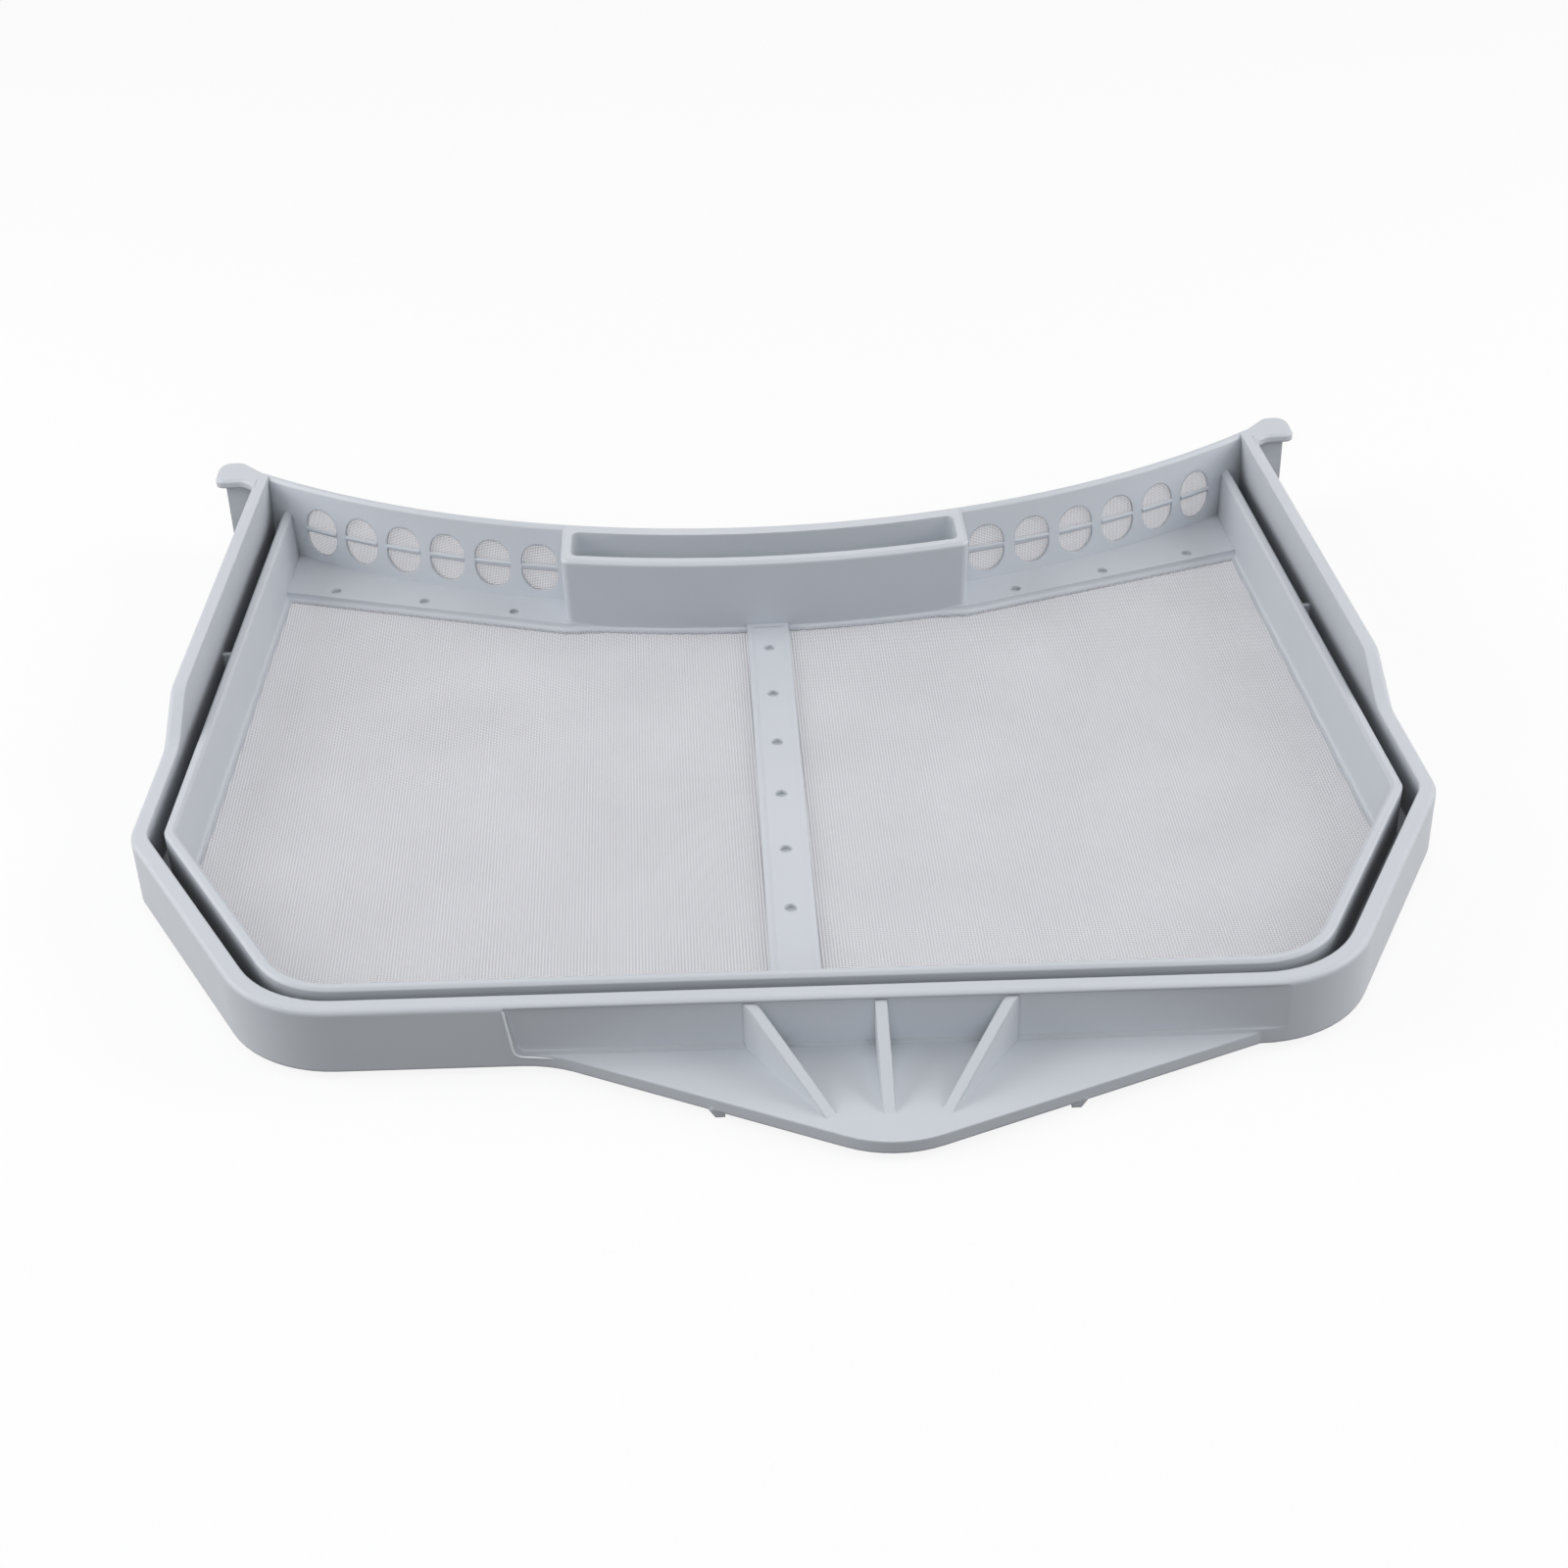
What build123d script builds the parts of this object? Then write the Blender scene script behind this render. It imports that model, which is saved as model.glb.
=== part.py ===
from build123d import *
import os
from math import asin, cos, degrees, hypot, radians, sin, sqrt, tan

# Heights above the underside of the walls
rim_height = 17.5
back_height = 27.0
floor_thickness = 3.2
ledge_height = 3.7

# Plan of the outer wall, the front drawn slightly out of square as on the real tray
shoulder_half = 166.2
shoulder_y = -24.6
shoulder_skew = 2.4
shoulder_radius = 15.0
front_half = 125.3
front_y = -100.0
front_skew = 3.67
front_radius = 31.0
side_taper = 0.0465
tight_radius = 6.0

# Double rim: outer wall, groove and inner wall
outer_wall = 4.3
groove_width = 4.1
inner_wall = 2.9
inner_draft = 4.5
outer_rounding = 1.4
inner_chamfer = 0.7
step_y = 24.0
step_skew = 4.0
step_run = 16.0
step_radius = 10.0
bridge_y = 77.0
bridge_width = 1.6
bridge_drop = 4.5

# Curved back wall, part of a cone round a vertical axis
back_y = 112.2
back_radius = 262.1
back_wall = 2.6
back_lean = 6.0
back_chamfer = 0.9
back_relief = 1.3
back_half_angle = 40.0

# Grille openings in the back wall
opening_count = 6
opening_side_gap = 8.1
opening_pitch = 15.07
opening_width = 11.4
opening_height = 14.8
opening_drop = 6.2
bar_height = 1.4
bar_setback = 0.2

# Finger pocket on the back wall
pocket_half = 60.0
pocket_depth = 20.2
pocket_lean = 12.0
pocket_lip = 1.4
pocket_wall = 3.4
pocket_side_wall = 3.1
pocket_back_wall = 2.5
pocket_corner = 2.6
slot_corner = 2.0
pocket_chamfer = 0.9

# Ledge in front of the back wall and centre strip, with the marks of the mould pins
ledge_near_depth = 15.0
ledge_far_depth = 24.3
ledge_pin_count = 3
ledge_pin_start = 15.8
ledge_pin_step = 27.8
ledge_pin_back = 4.3
strip_half = 6.25
strip_edge = 1.3
strip_dish = 0.25
strip_slope = 0.8
strip_end = 2.0
strip_pin_count = 6
strip_pin_start = 14.0
strip_pin_step = 25.75
pin_diameter = 3.0
pin_depth = 1.6

# Hooked ears at the ends of the back wall
ear_reach = 12.75
ear_forward = 6.9
ear_back = 6.2
ear_bend = 5.2
ear_lip = 2.6
ear_bury = 3.7
ear_back_corner = 4.0
ear_front_corner = 3.0
ear_blend = 5.5
ear_chamfer = 0.8
web_reach = 9.95
web_forward = 3.9
web_thickness = 2.6

# Nose flange with its gussets and the two nubs under its edge
nose_left_x = -58.4
nose_right_x = 106.0
nose_tip_x = 18.6
nose_reach = 36.8
nose_radius = 27.0
nose_blend = 30.0
gusset_x = 18.3
gusset_root_spread = 29.6
gusset_tip_spread = 13.0
gusset_reach = 24.6
gusset_thickness = 2.8
gusset_drop = 1.5
gusset_bury = 1.5
nub_x = 20.7
nub_spread = 40.2
nub_depth = 1.8
nub_foot = 2.2
nub_top = 3.6
nub_length = 3.0
nub_back = 0.4
nub_bury = 0.5

# Shallow panel sunk in the outside of the front wall
panel_depth = 0.6
panel_drop = 0.9
panel_bottom = 4.2
panel_left_top = -68.0
panel_left_bottom = -65.5
panel_right = 125.0
panel_corner = 3.0

# Woven filter cloth moulded into the frame
mesh_thickness = 0.6
mesh_z = 1.6
mesh_bury = 1.5
mesh_columns = 8
mesh_rows = 10
mesh_open_share = 0.6
mesh_border = 1.0
mesh_least_share = 0.3
grille_mesh_depth = 0.9
grille_mesh_thickness = 0.6
grille_mesh_border = 1.6
grille_mesh_side = 3.0
seat_clearance = 0.1

# Overlap of joined bodies and overshoot of cuts
join = 0.8
spare = 6.0
outline_spare = 40.0
groove_inset = outer_wall + groove_width
inner_top_inset = groove_inset + inner_wall
inner_base_inset = inner_top_inset + (rim_height - floor_thickness) * tan(radians(inner_draft))
arc_y = back_y + back_radius
pocket_front_radius = back_radius + pocket_depth
nose_tip_y = front_y - nose_reach
opening_z = back_height - opening_drop - opening_height / 2


def front_line(x):
    """Y of the front wall's outside at a given x."""
    return front_y - front_skew * x / front_half


def side_line(y):
    """Distance of the side wall's outside from the centre line at a given y."""
    return shoulder_half - side_taper * (y - shoulder_y)


def back_corner(radius):
    """Point where the side wall's outside meets a circle round the back wall's axis."""
    on_axis = side_line(arc_y)
    slope = 1 + side_taper**2
    root = sqrt((on_axis * side_taper) ** 2 - slope * (on_axis**2 - radius**2))
    y = arc_y - (root - on_axis * side_taper) / slope
    return side_line(y), y


def tray_outline(inset):
    """Plan of the tray inside its outer face by the inset, running on past the back wall."""
    far_y = back_corner(back_radius)[1] + outline_spare
    far_half = side_line(far_y)
    corners = [
        (-far_half, far_y),
        (-shoulder_half, shoulder_y + shoulder_skew),
        (-front_half, front_line(-front_half)),
        (front_half, front_line(front_half)),
        (shoulder_half, shoulder_y - shoulder_skew),
        (far_half, far_y),
    ]
    area = make_face(Polyline(*corners, close=True))
    if inset > 0:
        area = offset(area, -inset, kind=Kind.INTERSECTION)
    area = fillet(area.vertices().sort_by(Axis.Y)[2:4], max(shoulder_radius - inset, tight_radius))
    return fillet(area.vertices().sort_by(Axis.Y)[0:2], max(front_radius - inset, tight_radius))


def radius_at(z):
    """Radius of the back wall's front face at a given height."""
    return back_radius + (back_height - z) * tan(radians(back_lean))


def ring(profile, start, sweep, edge=0.0):
    """Turn a profile of radius and z about the back wall's axis, angles counted from the centre line."""
    turn = radians(start)
    section = Plane(
        origin=(0, arc_y, 0),
        x_dir=(sin(turn), -cos(turn), 0),
        z_dir=(-cos(turn), -sin(turn), 0),
    )
    area = make_face(Polyline(*profile, close=True))
    if edge > 0:
        area = chamfer(area.vertices().sort_by(Axis.Y)[-2:], edge)
    return revolve(section * area, Axis((0, arc_y, 0), (0, 0, 1)), sweep)


def leaning_profile(offset_front, offset_back, bottom, top):
    """Profile that follows the back wall's lean between two depths behind its front face."""
    return [
        (radius_at(bottom) - offset_front, bottom),
        (radius_at(top) - offset_front, top),
        (radius_at(top) - offset_back, top),
        (radius_at(bottom) - offset_back, bottom),
    ]


def block(left, right, near, far, bottom, top):
    """Plain block between six planes."""
    size = Box(right - left, far - near, top - bottom)
    return Pos((left + right) / 2, (near + far) / 2, (bottom + top) / 2) * size


def stepped_top(side):
    """Space above one half of the outer wall, which steps down from the back wall's height to the rim's."""
    middle = step_y - side * step_skew
    far = 2 * shoulder_half
    profile = Polyline(
        (-far, rim_height),
        (middle - step_run / 2, rim_height),
        (middle + step_run / 2, back_height),
        (far, back_height),
        (far, back_height + 2 * spare),
        (-far, back_height + 2 * spare),
        close=True,
    )
    area = make_face(profile)
    bends = area.vertices().filter_by_position(Axis.X, middle - step_run, middle + step_run)
    return extrude(Plane.YZ * fillet(bends, step_radius), side * far)


def double_rim():
    """Outer wall with its stepped, rounded top, and the inner wall behind the groove."""
    outer = extrude(tray_outline(0), back_height + spare)
    for side in (-1, 1):
        outer -= stepped_top(side)
    crown = outer.edges().filter_by(lambda e: e.bounding_box().min.Z > rim_height - join)
    crown = crown.filter_by(lambda e: e.center().Y < 0 or abs(e.center().X) > shoulder_half / 2)
    outer = fillet(crown, outer_rounding)
    outer -= extrude(tray_outline(outer_wall), back_height + spare)
    inner = extrude(tray_outline(groove_inset), rim_height) - tray_cavity()
    crown = inner.faces().sort_by(Axis.Z)[-1]
    return outer, chamfer(crown.edges(), inner_chamfer)


def tray_cavity():
    """Space inside the inner wall, widening upwards by the mould's draft."""
    plan = tray_outline(inner_base_inset)
    upper = Pos(0, 0, floor_thickness) * extrude(plan, rim_height + spare - floor_thickness)
    sides = upper.faces().sort_by(Axis.Z)[1:-1]
    upper = draft(sides, Plane.XY.offset(floor_thickness), -inner_draft)
    lower = Pos(0, 0, -spare) * extrude(plan, floor_thickness + spare)
    return upper + lower


def wall_foot(x):
    """Y of the back wall's front face at the ledge, at a given distance from the centre line."""
    return arc_y - sqrt(radius_at(ledge_height) ** 2 - x**2)


def ledge_line(x):
    """Y of the ledge's straight front edge at a given distance from the centre line."""
    near_y = wall_foot(pocket_half) - ledge_near_depth
    far_x = back_corner(back_radius)[0] - inner_base_inset
    far_y = wall_foot(far_x) - ledge_far_depth
    return near_y + (far_y - near_y) * (x - pocket_half) / (far_x - pocket_half)


def ledge_plan(shift):
    """Plan of the ledge in front of the back wall, its front edge moved back by the shift."""
    reach = shoulder_half
    points = [
        (-reach, arc_y),
        (-reach, ledge_line(reach) + shift),
        (-pocket_half, ledge_line(pocket_half) + shift),
        (pocket_half, ledge_line(pocket_half) + shift),
        (reach, ledge_line(reach) + shift),
        (reach, arc_y),
    ]
    return make_face(Polyline(*points, close=True))


def pocket_shift(z):
    """Distance by which the pocket's leaning front stands behind its upright lip at a given height."""
    return (back_height - pocket_lip - z) * tan(radians(pocket_lean))


def pocket_block(front, half, corner):
    """Block with two round front corners, its front leaning out towards an upright lip at the top."""
    slab = Pos(0, arc_y - front) * Rectangle(2 * half, 4 * half)
    area = (Pos(0, arc_y) * Circle(front)) & slab
    area = area - Pos(0, arc_y) * Circle(back_radius - back_wall)
    area = fillet(area.vertices().sort_by(Axis.Y)[0:2], corner)
    height = back_height - pocket_lip
    lip = Pos(0, 0, height) * area
    run = hypot(pocket_shift(0), height)
    return extrude(lip, pocket_lip) + extrude(lip, run, dir=(0, pocket_shift(0), -height))


def finger_pocket():
    """Open pocket for the fingers on the front of the back wall."""
    body = pocket_block(pocket_front_radius, pocket_half, pocket_corner)
    crown = body.faces().sort_by(Axis.Z)[-1].edges().sort_by(Axis.Y)[:-1]
    body = chamfer(crown, pocket_chamfer)
    slot = pocket_block(pocket_front_radius - pocket_wall, pocket_half - pocket_side_wall, slot_corner)
    slot_back = Pos(0, arc_y, back_height / 2) * Cylinder(back_radius + pocket_back_wall, 2 * back_height)
    floor = Pos(0, arc_y, 0) * Cylinder(2 * back_radius, 2 * floor_thickness)
    slot = slot - slot_back - floor
    return body, fillet(slot.edges().filter_by(Axis.Z).sort_by(Axis.Y)[-2:], slot_corner)


def opening_angles():
    """Angles from the centre line of the openings in one half of the back wall, the outermost first."""
    radius = radius_at(opening_z)
    outermost = back_corner(back_radius)[0] - inner_base_inset - opening_side_gap
    first = degrees(asin(outermost / radius))
    return [first - place * degrees(opening_pitch / radius) for place in range(opening_count)]


def grille_openings(side):
    """Obround openings through the back wall, each crossed by a bar set back from its front face."""
    whole = SlotOverall(opening_height, opening_width, rotation=90)
    halves = whole - Rectangle(2 * opening_width, bar_height)
    bar_front = Pos(0, 0, -bar_setback)
    cutter = bar_front * extrude(whole, spare) + extrude(halves, spare, both=True)
    radius = radius_at(opening_z)
    cuts = []
    for angle in opening_angles():
        turn = side * radians(angle)
        station = Plane(
            origin=(radius * sin(turn), arc_y - radius * cos(turn), opening_z),
            x_dir=(cos(turn), sin(turn), 0),
            z_dir=(sin(turn), -cos(turn), 0),
        )
        cuts.append(station * cutter)
    return cuts


def ear(side):
    """Hooked ear: a rounded lip along the top and a web under it."""
    corner_x, corner_y = back_corner(back_radius - back_wall)
    inner_x = corner_x - ear_bury
    wall_back = arc_y - sqrt((back_radius - back_wall) ** 2 - inner_x**2)
    tip_x = corner_x + ear_reach
    lip_near = corner_y - ear_forward
    lip_far = corner_y + ear_back
    plan = make_face(
        Polyline(
            (inner_x, lip_near),
            (tip_x, lip_near),
            (tip_x, lip_far),
            (corner_x + ear_bend, lip_far),
            (inner_x, wall_back - join),
            close=True,
        )
    )
    plan = fillet(plan.vertices().sort_by(Axis.Y)[-2:], ear_back_corner)
    plan = fillet(plan.vertices().sort_by_distance(Vertex(tip_x, lip_near, 0))[0:1], ear_front_corner)
    wall_x = side_line(lip_near)
    blend_y = lip_near - ear_blend
    blend = Pos(wall_x + (ear_blend - join) / 2, blend_y + ear_blend / 2)
    blend = blend * Rectangle(ear_blend + join, ear_blend)
    plan += blend - Pos(wall_x + ear_blend, blend_y) * Circle(ear_blend)
    lip = extrude(plan, ear_lip)
    edges = lip.faces().sort_by(Axis.Z)[-1].edges()
    lip = chamfer(edges.filter_by(lambda e: e.center().X > wall_x), ear_chamfer)
    web_near = corner_y - web_forward
    web_top = back_height - ear_lip / 2
    web = block(inner_x, corner_x + web_reach, web_near, web_near + web_thickness, 0, web_top)
    hook = Pos(0, 0, back_height - ear_lip) * lip + web
    if side < 0:
        hook = mirror(hook, Plane.YZ)
    return hook


def nose_edge(x):
    """Y of the flange's edge at a given x, before its tip is rounded."""
    root_x = nose_left_x
    if x > nose_tip_x:
        root_x = nose_right_x
    root_y = front_line(root_x)
    return root_y + (nose_tip_y - root_y) * (x - root_x) / (nose_tip_x - root_x)


def nose_plan():
    """Plan of the base plate: the tray with the nose flange running out of its front."""
    inside = front_y + 4 * spare
    lead_x = nose_left_x - nose_blend
    nose = make_face(
        Polyline(
            (lead_x, inside),
            (lead_x, front_line(lead_x)),
            (nose_left_x, front_line(nose_left_x)),
            (nose_tip_x, nose_tip_y),
            (nose_right_x, front_line(nose_right_x)),
            (nose_right_x, inside),
            close=True,
        )
    )
    root = Vertex(nose_left_x, front_line(nose_left_x), 0)
    nose = fillet(nose.vertices().sort_by_distance(root)[0:1], nose_blend)
    tip = Vertex(nose_tip_x, nose_tip_y, 0)
    nose = fillet(nose.vertices().sort_by_distance(tip)[0:1], nose_radius)
    return tray_outline(0) + nose


def gusset(start, end):
    """Triangular gusset standing on the flange against the front wall."""
    run = hypot(end[0] - start[0], end[1] - start[1])
    along = ((end[0] - start[0]) / run, (end[1] - start[1]) / run, 0)
    side = Plane(origin=(start[0], start[1], 0), x_dir=along, z_dir=(along[1], -along[0], 0))
    low = floor_thickness - join
    top = rim_height - gusset_drop
    shape = Polyline(
        (-gusset_bury, low),
        (run, low),
        (run, floor_thickness),
        (0, top),
        (-gusset_bury, top),
        close=True,
    )
    return extrude(side * make_face(shape), gusset_thickness / 2, both=True)


def nub(side):
    """Small nub under the flange's edge, its outer side slanted."""
    x = nub_x + side * nub_spread
    shape = Polyline(
        (x - side * nub_foot / 2, nub_bury),
        (x - side * nub_foot / 2, -nub_depth),
        (x + side * nub_foot / 2, -nub_depth),
        (x + side * (nub_top - nub_foot / 2), nub_bury),
        close=True,
    )
    near = nose_edge(x) + nub_back
    station = Plane(origin=(0, near, 0), x_dir=(1, 0, 0), z_dir=(0, -1, 0))
    return extrude(station * make_face(shape), -nub_length)


def front_panel():
    """Shallow cut that sinks a panel into the front wall's outside."""
    slope = -front_skew / front_half
    face = Plane(origin=(0, front_y, 0), x_dir=(1, slope, 0), z_dir=(slope, -1, 0))
    top = rim_height - panel_drop
    shape = Polyline(
        (panel_left_top, top),
        (panel_left_bottom, panel_bottom),
        (panel_right, panel_bottom),
        (panel_right, top),
        close=True,
    )
    area = make_face(shape)
    corner = area.vertices().sort_by_distance(Vertex(panel_left_bottom, panel_bottom, 0))[0:1]
    return extrude(face * fillet(corner, panel_corner), -panel_depth)


def floor_mesh_plan(side):
    """Plan of one of the two cloth panels in the floor of the tray, its edges buried in the frame."""
    pocket_reach = Rectangle(2 * (pocket_half - mesh_bury), 2 * arc_y)
    foot = Pos(0, arc_y + pocket_shift(mesh_z + mesh_thickness))
    under_pocket = (foot * Circle(pocket_front_radius - mesh_bury)) & pocket_reach
    area = tray_outline(inner_base_inset - mesh_bury) - ledge_plan(mesh_bury) - under_pocket
    reach = shoulder_half
    half = Pos(side * (reach + strip_half - mesh_bury), 0) * Rectangle(2 * reach, 4 * reach)
    return area & half


def mesh_gaps(plan):
    """Plain grid of gaps between a panel's threads, coarser than the real weave."""
    extent = plan.bounding_box()
    column = extent.size.X / mesh_columns
    row = extent.size.Y / mesh_rows
    gap = Rectangle(mesh_open_share * column, mesh_open_share * row)
    grid = Pos(extent.center()) * GridLocations(column, row, mesh_columns, mesh_rows)
    gaps = offset(plan, -mesh_bury - mesh_border) & (Sketch() + [place * gap for place in grid])
    return gaps.faces().filter_by(lambda f: f.area > mesh_least_share * gap.area)


def floor_mesh(side):
    """One flat cloth panel, its threads standing for many finer ones."""
    plan = floor_mesh_plan(side)
    return Pos(0, 0, mesh_z) * extrude(plan - mesh_gaps(plan), mesh_thickness)


def grille_panel(side, front, back, grow):
    """Curved panel behind one half's openings, between two depths in the wall and grown at its edges."""
    half_height = opening_height / 2 + grille_mesh_border + grow
    profile = leaning_profile(front, back, opening_z - half_height, opening_z + half_height)
    angles = opening_angles()
    margin = degrees((opening_width / 2 + grille_mesh_side + grow) / radius_at(opening_z))
    sweep = angles[0] - angles[-1] + 2 * margin
    start = angles[-1] - margin
    if side < 0:
        start = -angles[0] - margin
    return ring(profile, start, sweep)


def grille_mesh(side):
    """Cloth laid into a recess in the back of the wall."""
    return grille_panel(side, grille_mesh_depth, grille_mesh_depth + grille_mesh_thickness, 0)


def grille_recess(side):
    """Recess in the back of the wall that the cloth lies in."""
    return grille_panel(side, grille_mesh_depth - seat_clearance, back_wall + join, seat_clearance)


def dish(near, far):
    """Shallow trough along the centre strip, its two long sides sloping."""
    top_half = strip_half - strip_edge
    low_half = top_half - strip_slope
    low = ledge_height - strip_dish
    shape = Polyline(
        (-low_half, low),
        (low_half, low),
        (top_half, ledge_height),
        (top_half, ledge_height + join),
        (-top_half, ledge_height + join),
        (-top_half, ledge_height),
        close=True,
    )
    station = Plane(origin=(0, far, 0), x_dir=(1, 0, 0), z_dir=(0, -1, 0))
    return extrude(station * make_face(shape), far - near)


def frame_moulding():
    """The one-piece plastic frame with the cloth's seats cut out of it."""
    outer, inner = double_rim()
    pocket, slot = finger_pocket()
    base = extrude(nose_plan(), floor_thickness) - tray_cavity()
    ledge = extrude(ledge_plan(0) & tray_outline(groove_inset + join), ledge_height)
    pocket_y = arc_y - pocket_front_radius + pocket_shift(ledge_height)
    strip_near = front_line(0) + groove_inset + join
    strip = block(-strip_half, strip_half, strip_near, pocket_y + join, 0, ledge_height)
    frame = base + outer + inner + ledge + strip
    for side in (-1, 1):
        middle = side * (side_line(bridge_y) - outer_wall - groove_width / 2)
        reach = groove_width / 2 + join
        frame += block(
            middle - reach,
            middle + reach,
            bridge_y - bridge_width / 2,
            bridge_y + bridge_width / 2,
            floor_thickness - join,
            rim_height - bridge_drop,
        )
    back_edge = radius_at(back_height) - back_wall + back_relief
    shoulder_z = back_height - back_relief
    behind = ring(
        [
            (back_radius / 2, -spare),
            (radius_at(-spare) - back_wall, -spare),
            (radius_at(shoulder_z) - back_wall, shoulder_z),
            (back_edge, back_height),
            (back_edge, back_height + spare),
            (back_radius / 2, back_height + spare),
        ],
        -2 * back_half_angle,
        4 * back_half_angle,
    )
    frame = frame + pocket - behind
    section = leaning_profile(0, back_wall, 0, back_height)
    wall = ring(section, -back_half_angle, 2 * back_half_angle, back_chamfer)
    frame += wall & extrude(tray_outline(outer_wall / 2), back_height)
    frame -= slot
    frame -= front_panel()
    for place in (-1, 0, 1):
        root_x = gusset_x + place * gusset_root_spread
        tip_x = gusset_x + place * gusset_tip_spread
        frame += gusset((root_x, front_line(root_x)), (tip_x, front_y - gusset_reach))
    for side in (-1, 1):
        frame += nub(side)
        frame += ear(side)
        for cut in grille_openings(side):
            frame -= cut
    for place in range(ledge_pin_count):
        x = pocket_half + ledge_pin_start + place * ledge_pin_step
        for side in (-1, 1):
            mark = Pos(side * x, ledge_line(x) + ledge_pin_back, ledge_height)
            frame -= mark * Cylinder(pin_diameter / 2, 2 * pin_depth)
    frame -= dish(strip_near + spare, pocket_y - strip_end)
    for place in range(strip_pin_count):
        y = pocket_y - strip_pin_start - place * strip_pin_step
        frame -= Pos(0, y, ledge_height - strip_dish) * Cylinder(pin_diameter / 2, 2 * pin_depth)
    for side in (-1, 1):
        frame -= Pos(0, 0, mesh_z) * extrude(floor_mesh_plan(side), mesh_thickness)
        frame -= grille_recess(side)
    return frame


def main():
    cloths = {
        "floor_mesh_left": floor_mesh(-1),
        "floor_mesh_right": floor_mesh(1),
        "grille_mesh_left": grille_mesh(-1),
        "grille_mesh_right": grille_mesh(1),
    }
    frame = frame_moulding()
    box = frame.bounding_box()
    to_origin = Pos(-box.center().X, -box.center().Y, -box.min.Z)
    os.makedirs("parts", exist_ok=True)
    export_step(to_origin * frame, "parts/frame.step")
    for name, cloth in cloths.items():
        export_step(to_origin * cloth, f"parts/{name}.step")


main()
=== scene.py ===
from math import cos, hypot, pi, radians, sin

import bpy
import numpy as np
from mathutils import Matrix, Vector


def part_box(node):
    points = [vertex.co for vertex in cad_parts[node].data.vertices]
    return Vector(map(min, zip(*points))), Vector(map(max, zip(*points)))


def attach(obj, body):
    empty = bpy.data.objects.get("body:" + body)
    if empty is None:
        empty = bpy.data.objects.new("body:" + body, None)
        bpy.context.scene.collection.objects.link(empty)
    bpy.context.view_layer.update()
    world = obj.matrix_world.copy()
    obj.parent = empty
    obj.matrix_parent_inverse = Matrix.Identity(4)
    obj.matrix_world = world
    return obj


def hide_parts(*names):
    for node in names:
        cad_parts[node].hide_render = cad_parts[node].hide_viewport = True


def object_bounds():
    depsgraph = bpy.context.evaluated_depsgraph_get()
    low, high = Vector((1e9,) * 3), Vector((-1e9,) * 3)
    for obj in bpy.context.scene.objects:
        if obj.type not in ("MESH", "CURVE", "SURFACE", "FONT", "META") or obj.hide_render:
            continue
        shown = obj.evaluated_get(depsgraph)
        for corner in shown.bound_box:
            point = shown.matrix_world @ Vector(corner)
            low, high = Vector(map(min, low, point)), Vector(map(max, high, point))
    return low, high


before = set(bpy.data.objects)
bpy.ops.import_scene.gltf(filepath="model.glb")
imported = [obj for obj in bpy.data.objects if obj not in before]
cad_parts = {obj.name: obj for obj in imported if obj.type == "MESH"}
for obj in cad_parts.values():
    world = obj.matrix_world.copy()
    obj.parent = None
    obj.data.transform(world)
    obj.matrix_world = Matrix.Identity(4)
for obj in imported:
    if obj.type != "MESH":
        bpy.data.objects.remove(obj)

cad_low, cad_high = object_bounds()
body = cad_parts["frame"]

# Weave of the floor's and grilles' cloth: pitch in metres, and a thread's width and rise as shares of it
FLOOR_PITCH = 0.00080
GRILLE_PITCH = 0.00050
THREAD_SHARE = 0.50
RISE_SHARE = 0.18

# How far a thread's shading leans at its sides
ROUNDNESS = 0.85

# Least length of a thread, and least distance from its end to a crossing, in pitches
SHORTEST_PITCHES = 0.5
CLEAR_PITCHES = 0.01

# Threads counted beyond an outline's size on either side, so that none is missed
SPARE_THREADS = 2

# Turns of the warp and of the weft in each panel of the floor
FLOOR_TURNS = {
    "left": (radians(-0.6), radians(8.0)),
    "right": (radians(-0.5), radians(-8.0)),
}

# Bead of plastic along the floor's cloth, whose edge is buried in the frame
CLOTH_BURIED = 0.0015
BEAD_WIDTH = 0.0010
BEAD_HEIGHT = 0.0013
FILM_WIDTH = 0.0009
BEAD_SUNK = 0.0002
BEAD_STEPS = 5

# Openings of a grille, and its bars, whose fronts stand before the middle of the cloth
OPENING_COUNT = 6
OPENING_PITCH = 0.01507
OPENING_WIDTH = 0.0114
BAR_HEIGHT = 0.0012
BAR_FRONT = 0.0010
BAR_DEPTH = 0.0006
BAR_ROUND = 0.0004
BAR_RAISE = 0.0004
BAR_STEPS = 7
BAR_STATIONS = 4

# Fine ridge along the left end of the panel sunk in the front wall: X and Z of its line, and its section
RIDGE_TOP = (-0.0680, 0.0178)
RIDGE_CORNER = (-0.0664, 0.00445)
RIDGE_END = (-0.0575, 0.00445)
RIDGE_CUT = 0.0024
RIDGE_RADIUS = 0.00025
RIDGE_SUNK = 0.0008
RIDGE_TAPER = 0.2
RIDGE_CLEAR = 0.0006
RIDGE_STEPS = 6

# Marks of the mould pins: their size in the frame, how far each is filled, and the corners of a filling
PIN_DIAMETER = 0.0030
PIN_SLACK = 0.0001
PIN_FILL = 0.0006
PIN_CORNERS = 24

# Limits for reading the frame: faces that look up, levels and corners that agree, lines that never meet
FACES_UP = 0.99
LEVEL_SLACK = 1e-5
CORNER_DECIMALS = 6
PARALLEL = 1e-15

# Edges of the plastic: the angle from which they show, and the radius by which the shading softens them
SHARP_ANGLE = radians(40)
FRAME_SOFTNESS = 0.0008
TRIM_SOFTNESS = 0.00005
SOFTNESS_SAMPLES = 4

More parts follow.
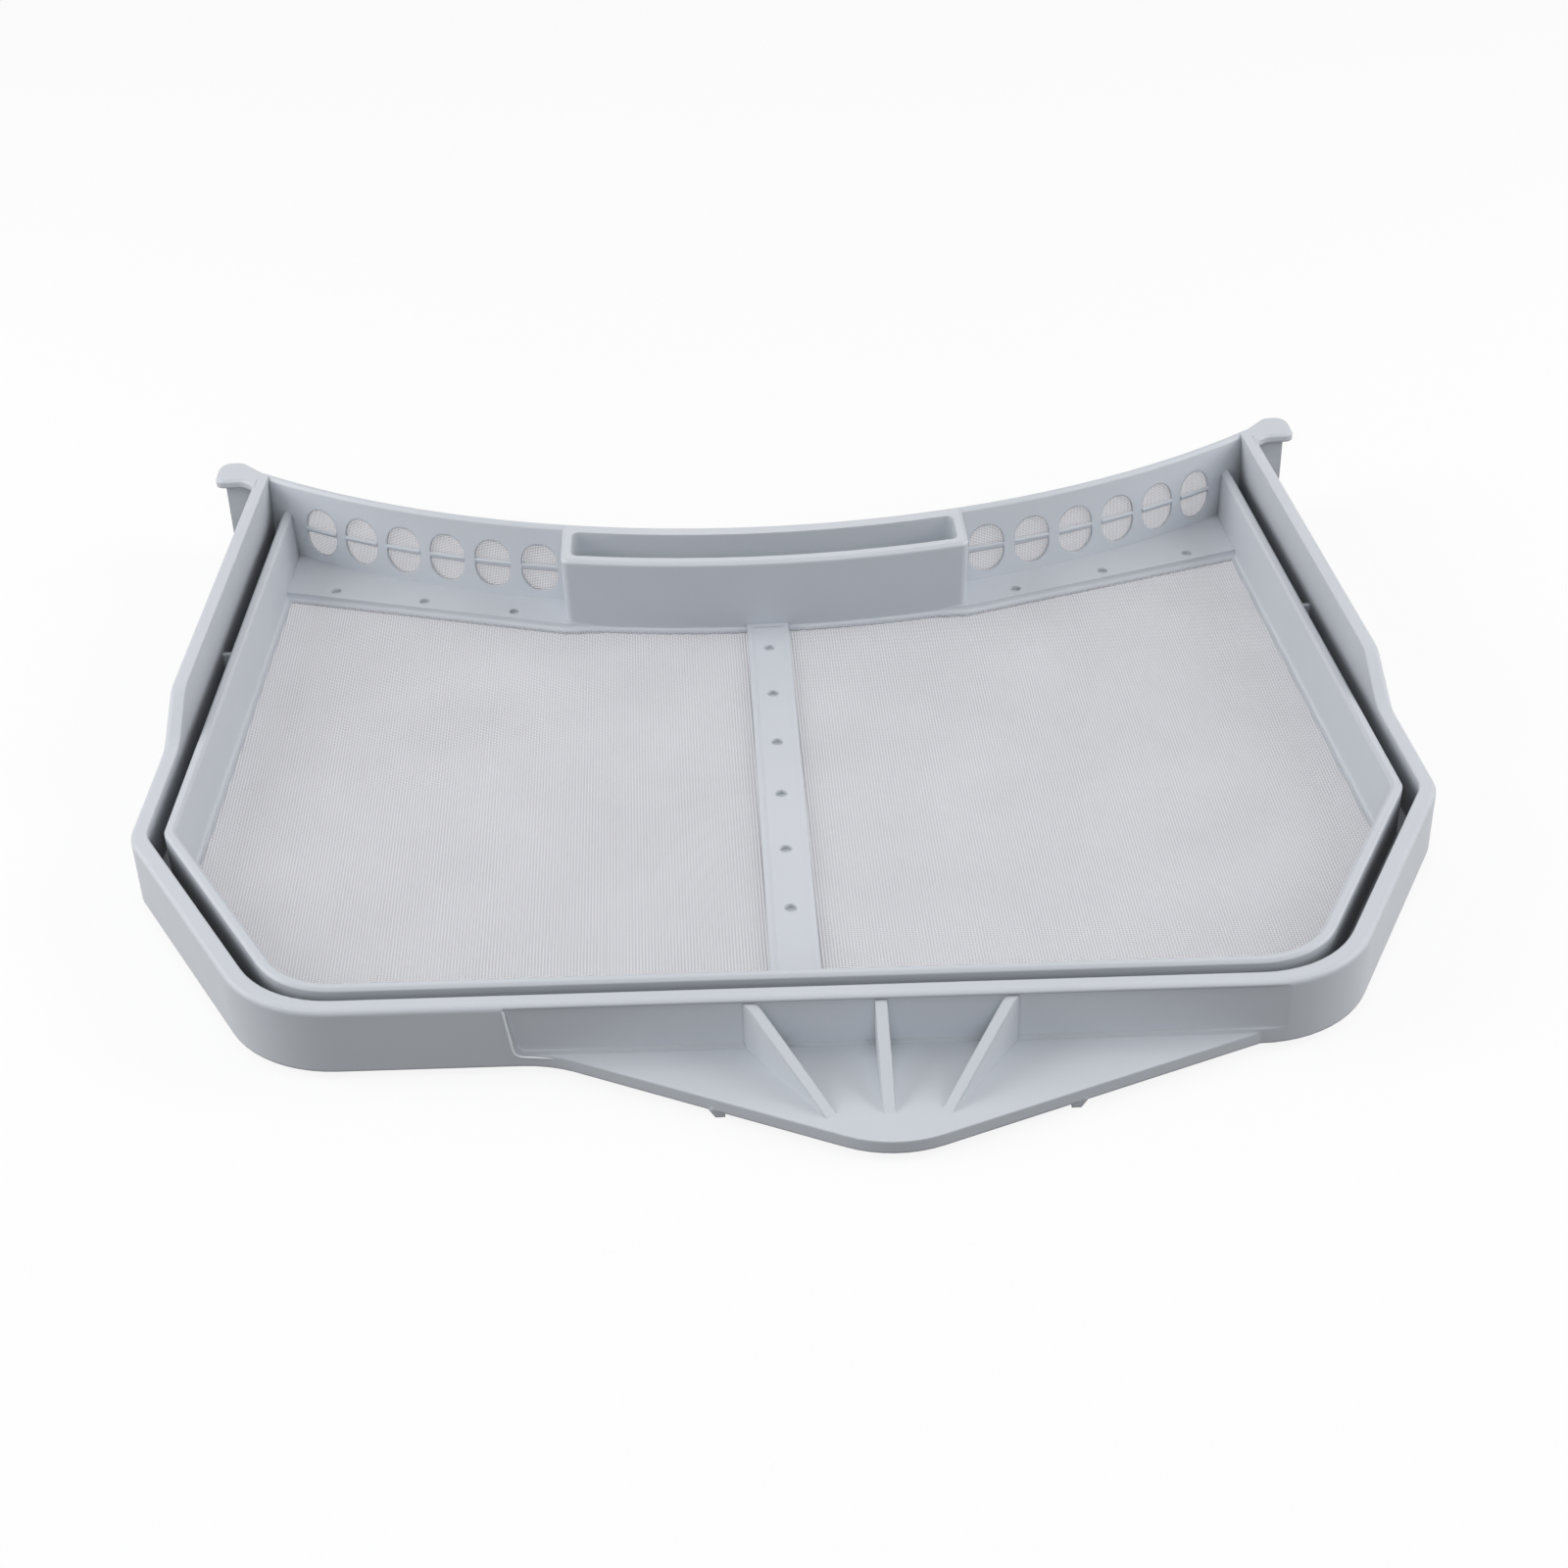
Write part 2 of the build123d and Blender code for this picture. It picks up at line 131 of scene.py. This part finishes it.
# Plastic: scale and detail of its noises, its range of roughness, and the bump of its grain
PLASTIC_IOR = 1.49
PLASTIC_TONE = (14, 3)
PLASTIC_GLOSS = (160, 3)
PLASTIC_GRAIN = (2600, 2)
PLASTIC_ROUGHNESS = (0.40, 0.52)
GRAIN_STRENGTH = 0.10
GRAIN_HEIGHT = 0.0001

# Shade of sheltered places: how far off walls count, how open a place is at its two stops, and its colour
SHELTER_SAMPLES = 8
SHELTER_REACH = 0.012
SHELTER_STOPS = (0.05, 0.30)
SHELTER_COLOUR = (0.32, 0.32, 0.31)

# Thread: scale and detail of its noises, its range of roughness, and the share of light let through
THREAD_IOR = 1.5
THREAD_TONE = (30, 4)
THREAD_GLOSS = (900, 2)
THREAD_ROUGHNESS = (0.34, 0.48)
THREAD_THROUGH = 0.3

# Colours between which each look varies, and the stops of the noise where they are reached
TONE_STOPS = (0.3, 0.7)
GREY = ((0.558, 0.585, 0.628), (0.588, 0.615, 0.658))
# The ridge's plastic is painted paler, a painted highlight along its edge
RIDGE_HIGHLIGHT = ((0.860, 0.875, 0.900), (0.900, 0.915, 0.940))
# Warp and weft are lit and shaded copies of one thread: the warp painted paler as sheen, the weft darker
# as shade
FLOOR_WARP_SHEEN = ((0.650, 0.650, 0.696), (0.703, 0.703, 0.748))
FLOOR_WEFT_SHADE = ((0.585, 0.585, 0.626), (0.632, 0.632, 0.673))
GRILLE_WARP_SHEEN = ((0.535, 0.530, 0.570), (0.580, 0.575, 0.615))
GRILLE_WEFT_SHADE = ((0.525, 0.520, 0.560), (0.570, 0.565, 0.605))

# Camera, as the photograph was taken
CAMERA_PLACE = (-0.01497, -0.55814, 0.36740)
CAMERA_PITCH = radians(33.44)
CAMERA_YAW = radians(1.655)
CAMERA_ROLL = radians(-1.786)
CAMERA_NEAR = 0.01
CAMERA_FAR = 20
FOCAL_PIXELS = 2500
IMAGE_PIXELS = 1600
SENSOR = 36.0

# Pale floor: its size, its gap below the object, its share of glow, and its greys to the eye and to light
STAGE_HALF = 4.0
STAGE_GAP = 0.0002
STAGE_GLOW = 0.87
STAGE_SEEN = (0.9, 0.9, 0.9)
STAGE_BOUNCE = (0.1, 0.1, 0.1)

# Strength of the light from all round, and the colours of light
AMBIENT = 0.31
WHITE = (1.0, 1.0, 1.0)
COOL_WHITE = (0.93, 0.965, 1.0)


def add_node(tree, kind, **values):
    """New shader node with some of its properties or inputs set."""
    node = tree.nodes.new(kind)
    for name, value in values.items():
        if hasattr(node, name):
            setattr(node, name, value)
        else:
            node.inputs[name.replace("_", " ")].default_value = value
    return node


def new_material(name):
    """Empty node material, its node tree and its output node."""
    material = bpy.data.materials.new(name)
    material.use_nodes = True
    tree = material.node_tree
    tree.nodes.clear()
    return material, tree, tree.nodes.new("ShaderNodeOutputMaterial")


def noise(tree, coordinates, scale, detail):
    """Noise over the object's own coordinates, from 0 to 1."""
    node = add_node(tree, "ShaderNodeTexNoise", Scale=scale, Detail=detail)
    tree.links.new(coordinates, node.inputs["Vector"])
    return node.outputs["Fac"]


def ramp(tree, factor, places, colours):
    """Colour that follows a factor between two stops."""
    node = tree.nodes.new("ShaderNodeValToRGB")
    for stop, place, colour in zip(node.color_ramp.elements, places, colours):
        stop.position = place
        stop.color = (*colour, 1)
    tree.links.new(factor, node.inputs["Fac"])
    return node.outputs["Color"]


def spread(tree, factor, low, high):
    """Factor from 0 to 1 stretched between two values."""
    node = add_node(tree, "ShaderNodeMapRange", To_Min=low, To_Max=high)
    tree.links.new(factor, node.inputs["Value"])
    return node.outputs["Result"]


def mixed(tree, first, second):
    """Mix of two shaders, whose factor is the share of the second one."""
    node = tree.nodes.new("ShaderNodeMixShader")
    tree.links.new(first.outputs[0], node.inputs[1])
    tree.links.new(second.outputs[0], node.inputs[2])
    return node


def sheltered(tree, colour):
    """Colour darkened where walls stand close."""
    shelter = add_node(
        tree,
        "ShaderNodeAmbientOcclusion",
        samples=SHELTER_SAMPLES,
        only_local=True,
        Distance=SHELTER_REACH,
    )
    shade = ramp(tree, shelter.outputs["AO"], SHELTER_STOPS, (SHELTER_COLOUR, WHITE))
    node = add_node(tree, "ShaderNodeMixRGB", blend_type="MULTIPLY", Fac=1)
    tree.links.new(colour, node.inputs["Color1"])
    tree.links.new(shade, node.inputs["Color2"])
    return node.outputs["Color"]


def grained(tree, coordinates, softness):
    """Normal with softened edges and a fine grain."""
    soft_edge = add_node(tree, "ShaderNodeBevel", samples=SOFTNESS_SAMPLES, Radius=softness)
    bump = add_node(tree, "ShaderNodeBump", Strength=GRAIN_STRENGTH, Distance=GRAIN_HEIGHT)
    tree.links.new(noise(tree, coordinates, *PLASTIC_GRAIN), bump.inputs["Height"])
    tree.links.new(soft_edge.outputs["Normal"], bump.inputs["Normal"])
    return bump.outputs["Normal"]


def plastic_material(name, colours, softness):
    """Satin moulded plastic with a fine grain and slight flow marks."""
    material, tree, output = new_material(name)
    coordinates = tree.nodes.new("ShaderNodeTexCoord").outputs["Object"]
    colour = ramp(tree, noise(tree, coordinates, *PLASTIC_TONE), TONE_STOPS, colours)
    roughness = spread(tree, noise(tree, coordinates, *PLASTIC_GLOSS), *PLASTIC_ROUGHNESS)
    shader = add_node(tree, "ShaderNodeBsdfPrincipled", IOR=PLASTIC_IOR)
    tree.links.new(sheltered(tree, colour), shader.inputs["Base Color"])
    tree.links.new(roughness, shader.inputs["Roughness"])
    tree.links.new(grained(tree, coordinates, softness), shader.inputs["Normal"])
    tree.links.new(shader.outputs["BSDF"], output.inputs["Surface"])
    return material


def thread_material(name, colours):
    """Whitish translucent monofilament."""
    material, tree, output = new_material(name)
    coordinates = tree.nodes.new("ShaderNodeTexCoord").outputs["Object"]
    colour = ramp(tree, noise(tree, coordinates, *THREAD_TONE), TONE_STOPS, colours)
    roughness = spread(tree, noise(tree, coordinates, *THREAD_GLOSS), *THREAD_ROUGHNESS)
    shader = add_node(tree, "ShaderNodeBsdfPrincipled", IOR=THREAD_IOR)
    tree.links.new(colour, shader.inputs["Base Color"])
    tree.links.new(roughness, shader.inputs["Roughness"])
    through = tree.nodes.new("ShaderNodeBsdfTranslucent")
    tree.links.new(colour, through.inputs["Color"])
    mix = mixed(tree, shader, through)
    mix.inputs["Fac"].default_value = THREAD_THROUGH
    tree.links.new(mix.outputs["Shader"], output.inputs["Surface"])
    return material


def flat_area(outline):
    """Area inside an outline, below 0 if it runs clockwise."""
    following = np.roll(outline, -1, axis=0)
    return (outline[:, 0] @ following[:, 1] - outline[:, 1] @ following[:, 0]) / 2


def outline_of(node):
    """Points anticlockwise round the outside of a flat CAD node's top face, in plan."""
    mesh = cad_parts[node].data
    uses = {}
    for face in mesh.polygons:
        if face.normal.z > FACES_UP:
            for key in face.edge_keys:
                ends = frozenset(tuple(mesh.vertices[index].co.xy) for index in key)
                uses[ends] = uses.get(ends, 0) + 1
    neighbours = {}
    for ends, count in uses.items():
        if count == 1:
            first, second = ends
            neighbours.setdefault(first, []).append(second)
            neighbours.setdefault(second, []).append(first)
    loop = [min(neighbours)]
    step = neighbours[loop[0]][0]
    while step != loop[0]:
        loop.append(step)
        step = next(point for point in neighbours[step] if point != loop[-2])
    outline = np.array(loop)
    return outline if flat_area(outline) > 0 else outline[::-1]


def spans(start, step, outline):
    """Stretches of a line that lie inside an outline, in steps from its start."""
    offset = outline - start
    edge = np.roll(outline, -1, axis=0) - outline
    slant = step[0] * edge[:, 1] - step[1] * edge[:, 0]
    slant[np.abs(slant) < PARALLEL] = PARALLEL
    reached = (offset[:, 0] * edge[:, 1] - offset[:, 1] * edge[:, 0]) / slant
    share = (offset[:, 0] * step[1] - offset[:, 1] * step[0]) / slant
    hits = np.sort(reached[(share >= 0) & (share < 1)])
    return list(zip(hits[0::2], hits[1::2]))


def threads(outline, along, across, pitch):
    """Line of each thread of one set inside an outline, and its wave from -1 to 1."""
    middle = outline.mean(axis=0)
    reach = int(np.ptp(outline, axis=0).max() / pitch) + SPARE_THREADS
    for number in range(-reach, reach):
        start = middle + number * pitch * across
        for first, last in spans(start, pitch * along, outline):
            if last - first >= SHORTEST_PITCHES:
                crossings = np.arange(np.ceil(first + CLEAR_PITCHES), last - CLEAR_PITCHES)
                stops = np.concatenate([[first], crossings, [last]])
                yield start + np.outer(stops * pitch, along), np.cos(np.pi * (stops + number))


def weave(outline, warp, weft, pitch, place):
    """Points, normals, faces and looks of a plain weave of ribbons, laid by the place function."""
    half_width = THREAD_SHARE * pitch / 2
    points, normals, faces, looks = [], [], [], []
    count = 0
    for look, (along, across, sign) in enumerate(((warp, weft, 1), (weft, warp, -1))):
        side = np.array([-along[1], along[0]])
        for line, wave in threads(outline, along, across, pitch):
            rise = sign * RISE_SHARE * pitch * wave
            for hand in (-1, 1):
                xyz, out, cross = place(line + hand * half_width * side, rise, side)
                points.append(xyz)
                normals.append(out + hand * ROUNDNESS * cross)
            length = len(line)
            one_side = count + np.arange(length - 1)
            other_side = one_side + length
            faces.append(np.stack([one_side, one_side + 1, other_side + 1, other_side], axis=1))
            looks.append(np.full(length - 1, look))
            count += 2 * length
    return [np.concatenate(parts) for parts in (points, normals, faces, looks)]


def add_cloth(name, node, woven, materials):
    """New piece of woven cloth in place of a CAD node."""
    points, normals, faces, looks = woven
    normals /= np.linalg.norm(normals, axis=1)[:, None]
    mesh = bpy.data.meshes.new(name)
    mesh.from_pydata(points.tolist(), [], faces.tolist())
    mesh.shade_smooth()
    mesh.normals_split_custom_set_from_vertices(normals.tolist())
    for material in materials:
        mesh.materials.append(material)
    mesh.polygons.foreach_set("material_index", looks)
    cloth = bpy.data.objects.new(name, mesh)
    bpy.context.scene.collection.objects.link(cloth)
    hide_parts(node)
    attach(cloth, "root")
    return cloth


def floor_cloth(side):
    """Flat panel of cloth in the floor of the tray."""
    node = f"floor_mesh_{side}"
    low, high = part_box(node)
    level = (low.z + high.z) / 2

    def place(flat, rise, across):
        xyz = np.column_stack([flat, level + rise])
        out = np.tile((0.0, 0.0, 1.0), (len(flat), 1))
        cross = np.tile((across[0], across[1], 0.0), (len(flat), 1))
        return xyz, out, cross

    outline = outline_of(node)
    warp_turn, weft_turn = FLOOR_TURNS[side]
    warp = np.array([sin(warp_turn), cos(warp_turn)])
    weft = np.array([cos(weft_turn), sin(weft_turn)])
    woven = weave(outline, warp, weft, FLOOR_PITCH, place)
    cloth = add_cloth(f"filter_cloth_{side}", node, woven, floor_looks)


def axis_of(foot):
    """Y of the upright axis that the two ends of a curved foot turn round."""
    order = np.abs(foot[:, 0]).argsort()
    near, far = foot[order[:2]], foot[order[-2:]]
    near = near[near[:, 1].argmin(), :2]
    far = far[far[:, 1].argmin(), :2]
    return (near @ near - far @ far) / (2 * (near[1] - far[1]))


def grille_curve(node):
    """Y of a curved panel's upright axis, its middle and half sweep, and its radii at foot and top."""
    low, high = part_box(node)
    corners = np.array([vertex.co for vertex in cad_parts[node].data.vertices])
    foot = corners[corners[:, 2] < low.z + LEVEL_SLACK]
    top = corners[corners[:, 2] > high.z - LEVEL_SLACK]
    centre_y = axis_of(foot)
    angles = np.arctan2(corners[:, 0], centre_y - corners[:, 1])
    foot_radius = np.hypot(foot[:, 0], centre_y - foot[:, 1]).mean()
    top_radius = np.hypot(top[:, 0], centre_y - top[:, 1]).mean()
    middle = (angles.min() + angles.max()) / 2
    return centre_y, middle, angles.max() - middle, foot_radius, top_radius


def grille_cloth(side):
    """Curved panel of cloth let into the back of the wall behind its openings."""
    node = f"grille_mesh_{side}"
    low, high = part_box(node)
    centre_y, middle, half_sweep, foot_radius, top_radius = grille_curve(node)
    radius = (foot_radius + top_radius) / 2
    height = high.z - low.z
    lean = (foot_radius - top_radius) / height
    slant = hypot(1, lean)
    half_width = half_sweep * radius
    half_height = height * slant / 2

    def place(flat, rise, across):
        angle = middle + flat[:, 0] / radius
        share = flat[:, 1] / (2 * half_height)
        reach = radius - share * (foot_radius - top_radius)
        x = reach * np.sin(angle)
        y = centre_y - reach * np.cos(angle)
        z = low.z + (0.5 + share) * height
        out = np.column_stack([np.sin(angle), -np.cos(angle), np.full(len(flat), lean)]) / slant
        along = np.column_stack([np.cos(angle), np.sin(angle), np.zeros(len(flat))])
        up = np.cross(out, along)
        xyz = np.column_stack([x, y, z]) + out * rise[:, None]
        return xyz, out, across[0] * along + across[1] * up

    outline = np.array([(-1, -1), (1, -1), (1, 1), (-1, 1)]) * (half_width, half_height)
    upright = np.array([0.0, 1.0])
    level = np.array([1.0, 0.0])
    woven = weave(outline, upright, level, GRILLE_PITCH, place)
    cloth = add_cloth(f"grille_cloth_{side}", node, woven, grille_looks)


def add_tubes(name, tubes, look):
    """New plastic piece of closed tubes, whose rings run anticlockwise seen from the last ring."""
    points, faces = [], []
    for rings in tubes:
        around = len(rings[0])
        first = len(points)
        for ring in rings:
            points.extend(ring)
        last = len(points) - around
        for here in range(first, last, around):
            there = here + around
            for i in range(around):
                j = (i + 1) % around
                faces.append((here + i, here + j, there + j, there + i))
        faces.append(tuple(range(first, first + around))[::-1])
        faces.append(tuple(range(last, last + around)))
    mesh = bpy.data.meshes.new(name)
    mesh.from_pydata(points, [], faces)
    mesh.shade_smooth()
    mesh.set_sharp_from_angle(angle=SHARP_ANGLE)
    mesh.materials.append(look)
    piece = bpy.data.objects.new(name, mesh)
    bpy.context.scene.collection.objects.link(piece)
    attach(piece, "root")


def inset(outline, distance):
    """Anticlockwise outline moved inwards."""
    ahead = np.roll(outline, -1, axis=0) - outline
    inward = np.column_stack([-ahead[:, 1], ahead[:, 0]])
    inward /= np.linalg.norm(inward, axis=1)[:, None]
    before = np.roll(inward, 1, axis=0)
    mitre = (inward + before) / (1 + (inward * before).sum(axis=1))[:, None]
    return outline + distance * mitre


def fused_edge(side):
    """Plastic that ran onto the cloth along the walls and the ledge when the frame was moulded."""
    node = f"floor_mesh_{side}"
    low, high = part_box(node)
    level = (low.z + high.z) / 2
    outline = outline_of(node)
    # The outline starts and ends at the strip, along which no edge is made
    beside_strip = np.abs(outline[:, 0] + np.roll(outline[:, 0], -1)).argmin()
    outline = np.roll(outline, -1 - beside_strip, axis=0)
    strip_x = outline[0, 0] + np.sign(outline[0, 0]) * (CLOTH_BURIED - BEAD_SUNK)
    section = []
    for turn in np.linspace(0, pi / 2, BEAD_STEPS):
        distance = CLOTH_BURIED + BEAD_WIDTH * (1 - cos(turn))
        section.append((distance, level + BEAD_HEIGHT * (1 - sin(turn))))
    section[-1] = (CLOTH_BURIED + BEAD_WIDTH + FILM_WIDTH, level)
    section.append((CLOTH_BURIED - BEAD_SUNK, level - BEAD_SUNK))
    section.append((CLOTH_BURIED - BEAD_SUNK, level + BEAD_HEIGHT))
    lines = []
    for distance, z in section:
        line = inset(outline, distance)
        line[[0, -1], 0] = strip_x
        lines.append([(x, y, z) for x, y in line])
    rings = list(zip(*lines))
    add_tubes(f"fused_edge_{side}", [rings[::-1]], trim_look)


def grille_bars(side):
    """Rounded fronts of the bars across a grille's openings."""
    node = f"grille_mesh_{side}"
    low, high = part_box(node)
    level = (low.z + high.z) / 2 + BAR_RAISE
    centre_y, middle, _, foot_radius, top_radius = grille_curve(node)
    front = (foot_radius + top_radius) / 2 + BAR_FRONT
    turns = np.linspace(-pi / 2, pi / 2, BAR_STEPS)
    section = [(front + BAR_ROUND * cos(turn), level + BAR_HEIGHT / 2 * sin(turn)) for turn in turns]
    section.append((front - BAR_DEPTH, level + BAR_HEIGHT / 2))
    section.append((front - BAR_DEPTH, level - BAR_HEIGHT / 2))
    half = OPENING_WIDTH / 2 / front
    tubes = []
    for opening in range(OPENING_COUNT):
        centre = middle + (opening - (OPENING_COUNT - 1) / 2) * OPENING_PITCH / front
        rings = []
        for angle in np.linspace(centre + half, centre - half, BAR_STATIONS):
            rings.append([(r * sin(angle), centre_y - r * cos(angle), z) for r, z in section])
        tubes.append(rings)
    add_tubes(f"grille_bars_{side}", tubes, trim_look)


def ridge_line():
    """X and Z of points along the ridge, with its corner rounded."""
    top, corner, end = np.array([RIDGE_TOP, RIDGE_CORNER, RIDGE_END])
    above = corner + RIDGE_CUT * (top - corner) / np.linalg.norm(top - corner)
    beside = corner + RIDGE_CUT * (end - corner) / np.linalg.norm(end - corner)
    line = [top]
    for share in np.linspace(0, 1, RIDGE_STEPS):
        line.append((1 - share) ** 2 * above + 2 * share * (1 - share) * corner + share**2 * beside)
    line.append(end)
    return np.array(line)


def panel_ridge():
    """Fine ridge that rounds the lower left corner of the panel sunk in the front wall, in paler plastic
    that paints a highlight along it.
    """
    line = ridge_line()
    along = np.gradient(line, axis=0)
    along /= np.linalg.norm(along, axis=1)[:, None]
    outward = np.column_stack([along[:, 1], -along[:, 0]])
    turns = np.linspace(pi, 0, RIDGE_STEPS)
    section = [(RIDGE_RADIUS * cos(turn), RIDGE_RADIUS * sin(turn)) for turn in turns]
    section.append((RIDGE_RADIUS, -RIDGE_SUNK))
    section.append((-RIDGE_RADIUS, -RIDGE_SUNK))
    sizes = np.ones(len(line))
    sizes[-1] = RIDGE_TAPER
    rings = []
    for (x, z), (side_x, side_z), size in zip(line, outward, sizes):
        start = Vector((x + RIDGE_CLEAR * side_x, cad_low.y, z + RIDGE_CLEAR * side_z))
        wall = body.ray_cast(start, Vector((0, 1, 0)))[1].y
        ring = size * np.array(section)
        rings.append([(x + side_x * out, wall - front, z + side_z * out) for out, front in ring])
    add_tubes("panel_ridge", [rings], ridge_highlight_look)


def pin_centres():
    """Middles of the round floors that the mould pins left in the frame, in order."""
    mesh = body.data
    patches = []
    for face in mesh.polygons:
        if face.normal.z < FACES_UP:
            continue
        places = [mesh.vertices[index].co for index in face.vertices]
        corners = {tuple(round(value, CORNER_DECIMALS) for value in place) for place in places}
        apart = []
        for patch in patches:
            if patch & corners:
                corners |= patch
            else:
                apart.append(patch)
        patches = apart + [corners]
    centres = []
    for patch in patches:
        low, high = np.min(list(patch), axis=0), np.max(list(patch), axis=0)
        if np.abs(high[:2] - low[:2] - PIN_DIAMETER).max() < PIN_SLACK:
            centres.append(tuple((low + high) / 2))
    return sorted(centres)


def pin_floors():
    """Plastic that leaves the marks of the mould pins shallow."""
    turns = np.linspace(0, 2 * pi, PIN_CORNERS, endpoint=False)
    radius = (PIN_DIAMETER - PIN_SLACK) / 2
    tubes = []
    for x, y, z in pin_centres():
        circle = [(x + radius * cos(turn), y + radius * sin(turn)) for turn in turns]
        levels = (z - PIN_SLACK, z + PIN_FILL)
        tubes.append([[(*corner, level) for corner in circle] for level in levels])
    add_tubes("pin_floors", tubes, trim_look)


def place_camera():
    """Camera where the photograph was taken from."""
    forward = Vector(
        (
            sin(CAMERA_YAW) * cos(CAMERA_PITCH),
            cos(CAMERA_YAW) * cos(CAMERA_PITCH),
            -sin(CAMERA_PITCH),
        )
    )
    level = Vector((cos(CAMERA_YAW), -sin(CAMERA_YAW), 0))
    upright = level.cross(forward)
    right = cos(CAMERA_ROLL) * level + sin(CAMERA_ROLL) * upright
    up = cos(CAMERA_ROLL) * upright - sin(CAMERA_ROLL) * level
    data = bpy.data.cameras.new("camera")
    data.sensor_width = SENSOR
    data.lens = FOCAL_PIXELS / IMAGE_PIXELS * SENSOR
    data.clip_start = CAMERA_NEAR
    data.clip_end = CAMERA_FAR
    camera = bpy.data.objects.new("camera", data)
    turn = Matrix((right, up, -forward)).transposed().to_4x4()
    camera.matrix_world = Matrix.Translation(CAMERA_PLACE) @ turn
    bpy.context.scene.collection.objects.link(camera)
    bpy.context.scene.camera = camera


def seen_directly(tree):
    """1 for rays from the camera, in mirrors or through glass."""
    path = tree.nodes.new("ShaderNodeLightPath")
    first = add_node(tree, "ShaderNodeMath", operation="MAXIMUM")
    tree.links.new(path.outputs["Is Camera Ray"], first.inputs[0])
    tree.links.new(path.outputs["Is Glossy Ray"], first.inputs[1])
    second = add_node(tree, "ShaderNodeMath", operation="MAXIMUM")
    tree.links.new(first.outputs[0], second.inputs[0])
    tree.links.new(path.outputs["Is Transmission Ray"], second.inputs[1])
    return second.outputs[0]


def stage_material():
    """Paper that shows nearly white, and throws little light back on the object."""
    material, tree, output = new_material("pale_floor")
    paper = add_node(tree, "ShaderNodeBsdfDiffuse", Color=(*STAGE_SEEN, 1))
    glow = add_node(tree, "ShaderNodeEmission", Color=(*WHITE, 1), Strength=1.0)
    sheet = mixed(tree, paper, glow)
    sheet.inputs["Fac"].default_value = STAGE_GLOW
    bounce = add_node(tree, "ShaderNodeBsdfDiffuse", Color=(*STAGE_BOUNCE, 1))
    mix = mixed(tree, bounce, sheet)
    tree.links.new(seen_directly(tree), mix.inputs["Fac"])
    tree.links.new(mix.outputs["Shader"], output.inputs["Surface"])
    return material


def make_floor():
    """Plain pale floor that shows white and keeps the object's shadow."""
    mesh = bpy.data.meshes.new("floor")
    corners = [(-1, -1), (1, -1), (1, 1), (-1, 1)]
    mesh.from_pydata([(STAGE_HALF * x, STAGE_HALF * y, 0) for x, y in corners], [], [(0, 1, 2, 3)])
    mesh.materials.append(stage_material())
    floor = bpy.data.objects.new("floor", mesh)
    floor.location.z = cad_low.z - STAGE_GAP
    bpy.context.scene.collection.objects.link(floor)


def make_world():
    """White backdrop, and a soft light on the object from all round."""
    world = bpy.data.worlds.new("studio")
    bpy.context.scene.world = world
    world.use_nodes = True
    tree = world.node_tree
    tree.nodes.clear()
    output = tree.nodes.new("ShaderNodeOutputWorld")
    light = add_node(tree, "ShaderNodeBackground", Color=(*WHITE, 1), Strength=AMBIENT)
    backdrop = add_node(tree, "ShaderNodeBackground", Color=(*WHITE, 1), Strength=1.0)
    mix = mixed(tree, light, backdrop)
    tree.links.new(seen_directly(tree), mix.inputs["Fac"])
    tree.links.new(mix.outputs["Shader"], output.inputs["Surface"])


def area_light(name, place, size, power, colour):
    """Soft square lamp that faces the object."""
    data = bpy.data.lights.new(name, "AREA")
    data.shape = "SQUARE"
    data.size = size
    data.energy = power
    data.color = colour
    lamp = bpy.data.objects.new(name, data)
    lamp.location = place
    lamp.rotation_euler = (-Vector(place)).to_track_quat("-Z", "Y").to_euler()
    bpy.context.scene.collection.objects.link(lamp)


bpy.context.scene.view_settings.view_transform = "Standard"
plastic_look = plastic_material("grey_plastic", GREY, FRAME_SOFTNESS)
trim_look = plastic_material("grey_plastic_trim", GREY, TRIM_SOFTNESS)
ridge_highlight_look = plastic_material("highlight_paler_plastic", RIDGE_HIGHLIGHT, TRIM_SOFTNESS)
# Each cloth gets a paler warp and a darker weft, a painted sheen and shade of one thread
floor_looks = [thread_material("floor_warp_sheen", FLOOR_WARP_SHEEN), thread_material("floor_weft_shade", FLOOR_WEFT_SHADE)]
grille_looks = [thread_material("grille_warp_sheen", GRILLE_WARP_SHEEN), thread_material("grille_weft_shade", GRILLE_WEFT_SHADE)]
body.data.materials.clear()
body.data.materials.append(plastic_look)
for make in (floor_cloth, grille_cloth, fused_edge, grille_bars):
    for side in ("left", "right"):
        make(side)
panel_ridge()
pin_floors()
place_camera()
make_floor()
make_world()
area_light("top", place=(0.0, 0.1, 1.3), size=1.2, power=1.7, colour=WHITE)
area_light("left", place=(-1.1, 0.0, 0.6), size=0.8, power=9.3, colour=WHITE)
area_light("right", place=(1.1, 0.0, 0.6), size=0.8, power=8.3, colour=WHITE)
area_light("front", place=(0.0, -1.3, 0.9), size=0.8, power=5.0, colour=COOL_WHITE)
area_light("back", place=(0.0, 1.2, 0.7), size=0.8, power=1.0, colour=WHITE)
